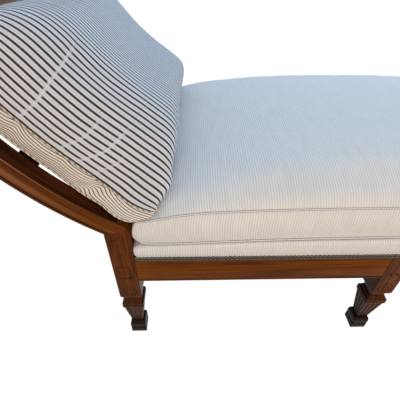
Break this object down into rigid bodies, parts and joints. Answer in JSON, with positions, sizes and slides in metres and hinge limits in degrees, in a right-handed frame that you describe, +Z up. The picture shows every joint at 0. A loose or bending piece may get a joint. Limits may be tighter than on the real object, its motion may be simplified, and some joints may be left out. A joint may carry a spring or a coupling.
{
  "type": "recamier",
  "caption": "Single-ended recamier: a long upholstered seat on square tapered legs, with a raked slatted head end that curls over, and two loose cushions.",
  "frame": {"origin": "on the floor, under the middle of the whole piece's length and depth", "axes": "+X from the raked head end to the foot end, -Y the front, +Z up"},
  "size_m": [1.712, 0.76, 0.799],
  "materials": {
    "show_wood": "satin shellac over brown hardwood",
    "slat_wood": "dark stained hardwood",
    "peg_wood": "dark end grain",
    "block_wood": "bare pale hardwood",
    "screw_steel": "plain countersunk steel",
    "webbing": "woven jute",
    "hessian": "coarse plain weave",
    "stuffing": "calico wrapped filling",
    "deck_cloth": "fine ribbed cotton",
    "gimp": "braid with a pale zigzag",
    "dust_cloth": "black lining cloth",
    "seat_cloth": "fine ribbed cotton",
    "ticking": "cream cotton with dark woven stripes",
    "zip_metal": "dulled metal teeth"
  },
  "bodies": {
    "frame": {"head_leg_front": "show_wood", "head_leg_rear": "show_wood", "mid_leg_front": "show_wood", "mid_leg_rear": "show_wood", "foot_leg_front": "show_wood", "foot_leg_rear": "show_wood", "front_rail_head": "show_wood", "front_rail_foot": "show_wood", "rear_rail_head": "show_wood", "rear_rail_foot": "show_wood", "head_cross_rail": "show_wood", "mid_cross_rail": "show_wood", "foot_cross_rail": "show_wood", "joint_pegs": "peg_wood", "corner_blocks": "block_wood", "corner_block_screws": "screw_steel", "head_stile_front": "show_wood", "head_stile_rear": "show_wood", "knee_dowels": "block_wood", "back_slat_low": "slat_wood", "back_slat_mid": "slat_wood", "back_slat_high": "slat_wood", "crest_rail": "show_wood", "webbing_long": "webbing", "webbing_cross": "webbing", "hessian": "hessian", "deck_pad": "stuffing", "deck_cover": "deck_cloth", "gimp_front": "gimp", "gimp_rear": "gimp", "gimp_foot": "gimp", "dust_cover": "dust_cloth"},
    "seat_cushion": {"seat_cushion_cover": "seat_cloth", "seat_cushion_fill": "stuffing", "seat_welt_top": "seat_cloth", "seat_welt_bottom": "seat_cloth", "seat_zip": "zip_metal"},
    "back_cushion": {"back_cushion_cover": "ticking", "back_cushion_fill": "stuffing", "back_welt_top": "ticking", "back_welt_bottom": "ticking", "back_zip": "zip_metal"}
  },
  "joints": [
    {"name": "seat_cushion_lift", "type": "slide", "parent": "frame", "child": "seat_cushion", "axis": [0, 0, 1], "range_m": [0, 0.2]},
    {"name": "back_cushion_lift", "type": "slide", "parent": "seat_cushion", "child": "back_cushion", "axis": [0.788, 0, 0.6157], "range_m": [0, 0.2]}
  ]
}
